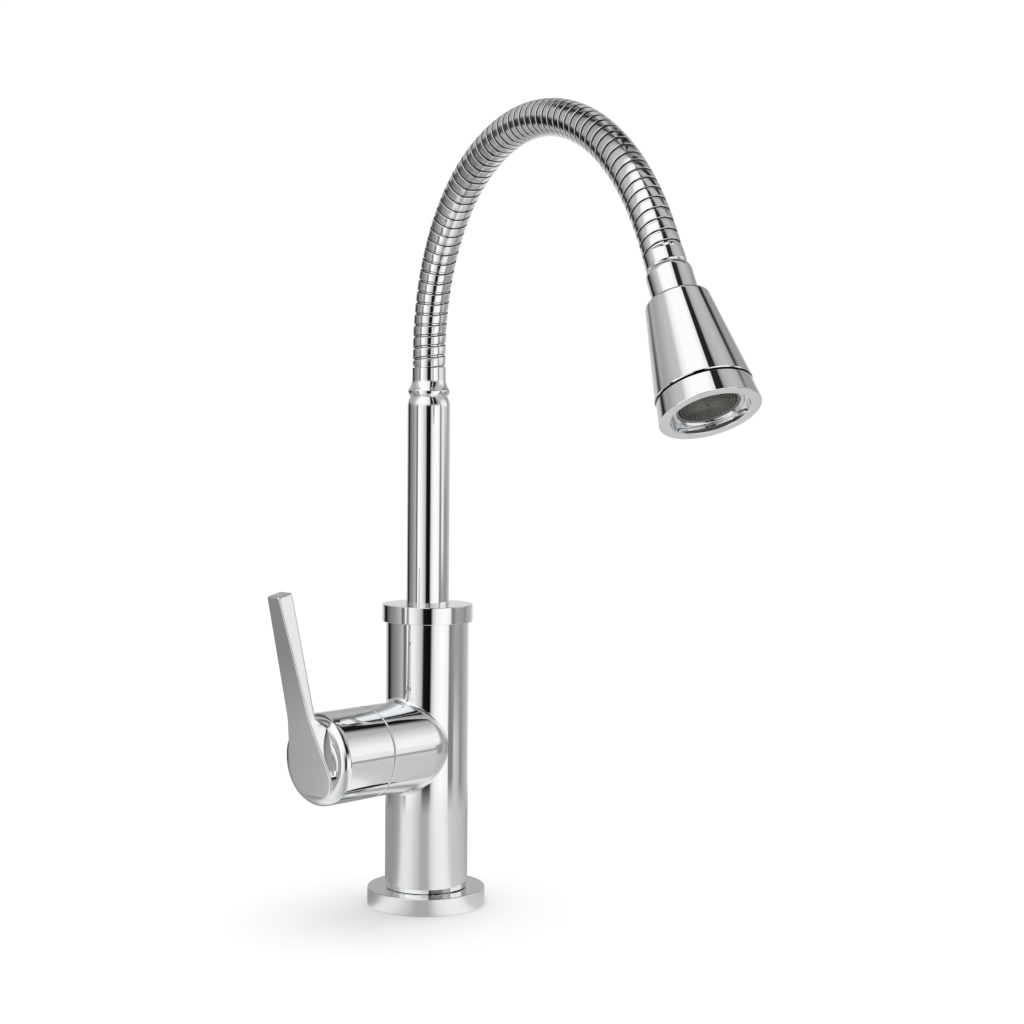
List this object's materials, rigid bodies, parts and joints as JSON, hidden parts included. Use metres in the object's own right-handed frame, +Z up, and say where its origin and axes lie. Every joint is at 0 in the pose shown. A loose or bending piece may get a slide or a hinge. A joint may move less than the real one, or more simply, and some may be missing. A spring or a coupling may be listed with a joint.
{
  "type": "gooseneck bar faucet",
  "caption": "Deck-mounted single-lever bar faucet: round chrome column, side valve with an upright lever, and a ribbed flexible gooseneck with a conical spray head.",
  "frame": {"origin": "middle of the base flange's underside, where it meets the deck", "axes": "+Z up along the column; the valve's boss and handle point along -X; -Y is the front, over the sink, and the spout points forward, swung 20 degrees towards the handle"},
  "size_m": [0.1412, 0.2959, 0.399],
  "materials": {
    "polished_chrome": "mirror polished chrome plate on brass",
    "hose_chrome": "polished strip-wound stainless cover, each rib a bright band with a dark groove",
    "seal_rubber": "matt black moulded rubber",
    "turned_brass": "turned, unplated",
    "cartridge_plastic": "off-white moulded plastic",
    "bush_plastic": "smooth white low-friction plastic",
    "ceramic": "lapped ceramic, glossy",
    "core_tube": "flexible white water tube",
    "steel": "plain steel",
    "plug_plastic": "grey moulded plug",
    "aerator_plastic": "dark moulded plastic"
  },
  "bodies": {
    "body": {"base_flange": "polished_chrome", "base_gasket": "seal_rubber", "foot_ring": "seal_rubber", "valve_body": "polished_chrome", "top_collar": "polished_chrome", "upper_swivel_bush": "bush_plastic", "lower_swivel_bush": "bush_plastic", "cartridge_housing": "cartridge_plastic", "cartridge_base": "cartridge_plastic", "cartridge_seals": "seal_rubber", "fixed_ceramic_disc": "ceramic", "cartridge_nut": "turned_brass"},
    "handle": {"handle_lever": "polished_chrome", "cartridge_stem": "turned_brass", "disc_driver": "cartridge_plastic", "moving_ceramic_disc": "ceramic", "set_screw": "steel", "screw_plug": "plug_plastic"},
    "spout": {"riser_tube": "polished_chrome", "riser_foot": "turned_brass", "spout_seal_ring": "seal_rubber", "lower_ferrule": "polished_chrome", "lower_hose_barb": "turned_brass", "gooseneck_hose": "hose_chrome", "inner_water_tube": "core_tube"},
    "head": {"upper_ferrule": "polished_chrome", "upper_hose_barb": "turned_brass", "head_neck": "polished_chrome", "neck_washer": "seal_rubber", "head_shell": "polished_chrome", "outlet_ring": "polished_chrome", "aerator_washer": "seal_rubber", "aerator_housing": "polished_chrome", "aerator_core": "aerator_plastic", "aerator_screen": "aerator_plastic"}
  },
  "joints": [
    {"name": "spout_swivel", "type": "hinge", "parent": "body", "child": "spout", "pos_m": [0, 0, 0.14], "axis": [0, 0, 1], "continuous": true},
    {"name": "neck_bend", "type": "hinge", "parent": "spout", "child": "head", "pos_m": [-0.03892, -0.10694, 0.3898], "axis": [-0.9397, 0.342, 0], "range_deg": [-20, 35], "deforming": ["gooseneck_hose", "inner_water_tube"]},
    {"name": "handle_turn", "type": "hinge", "parent": "body", "child": "handle", "pos_m": [-0.07, 0, 0.0842], "axis": [1, 0, 0], "range_deg": [0, 95]}
  ]
}
